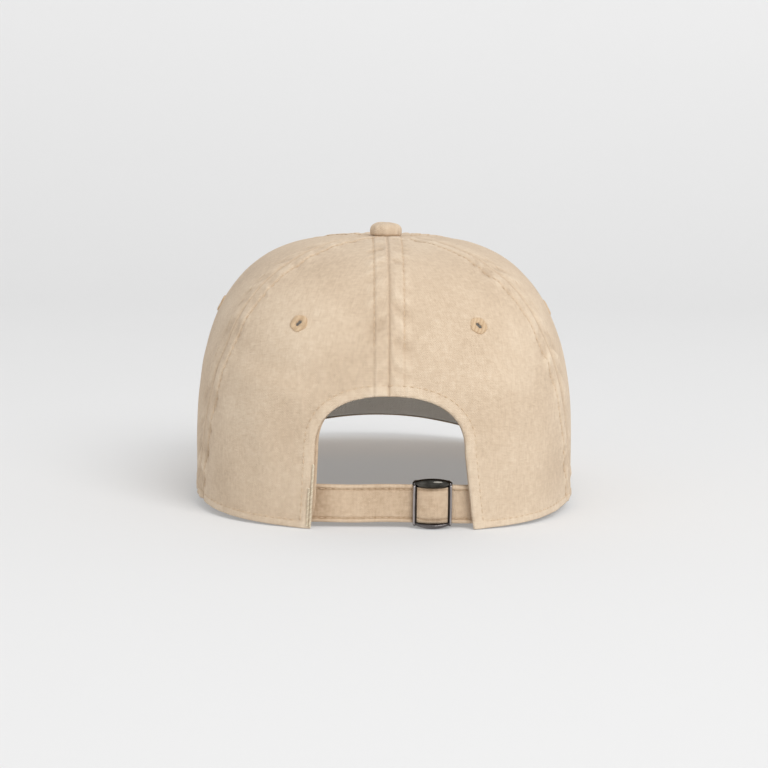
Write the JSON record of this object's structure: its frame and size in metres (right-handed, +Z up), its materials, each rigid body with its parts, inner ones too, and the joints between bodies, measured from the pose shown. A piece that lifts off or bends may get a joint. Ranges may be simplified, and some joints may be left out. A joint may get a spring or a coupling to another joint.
{
  "type": "baseball cap",
  "caption": "Panelled cotton twill cap with a curved visor, fabric-covered top button, embroidered eyelets and a rear arch opening closed by a strap with a metal slide buckle.",
  "frame": {"origin": "middle of the head opening, on the surface that the cap stands on", "axes": "+Z up through the top button, -Y towards the visor, +Y towards the rear opening, +X towards the wearer's left"},
  "size_m": [0.176, 0.2635, 0.1247],
  "materials": {
    "twill_body": "washed cotton twill",
    "embroidery": "satin thread",
    "seam_tape": "plain woven",
    "buckram": "stiffened open weave",
    "sweatband": "brushed cotton",
    "interlining": "felted",
    "visor_board": "matte",
    "button_metal": "dull",
    "buckle_metal": "antique silver"
  },
  "bodies": {
    "cap": {"front_panel_left": "twill_body", "front_panel_right": "twill_body", "side_panel_left": "twill_body", "side_panel_right": "twill_body", "back_panel_left": "twill_body", "back_panel_right": "twill_body", "visor_top_cover": "twill_body", "visor_under_cover": "twill_body", "button_cover": "twill_body", "strap": "twill_body", "strap_return": "twill_body", "ring_tab": "twill_body", "eyelet_back_left": "embroidery", "eyelet_back_right": "embroidery", "eyelet_side_left": "embroidery", "eyelet_side_right": "embroidery", "eyelet_front_left": "embroidery", "eyelet_front_right": "embroidery", "centre_back_seam_tape": "seam_tape", "centre_front_seam_tape": "seam_tape", "side_back_seam_tape_left": "seam_tape", "side_back_seam_tape_right": "seam_tape", "front_side_seam_tape_left": "seam_tape", "front_side_seam_tape_right": "seam_tape", "arch_facing": "seam_tape", "front_buckram_left": "buckram", "front_buckram_right": "buckram", "sweatband": "sweatband", "sweatband_interlining": "interlining", "visor_board": "visor_board", "button_shell": "button_metal", "button_rivet": "button_metal", "button_washer": "button_metal", "strap_ring": "buckle_metal"},
    "slide_buckle": {"strap_end_fold": "twill_body", "buckle_frame": "buckle_metal", "buckle_bar": "buckle_metal"}
  },
  "joints": [
    {"name": "buckle_slide", "type": "slide", "parent": "cap", "child": "slide_buckle", "axis": [1, 0, 0], "range_m": [-0.004, 0.04], "deforming": ["strap_return"]}
  ]
}
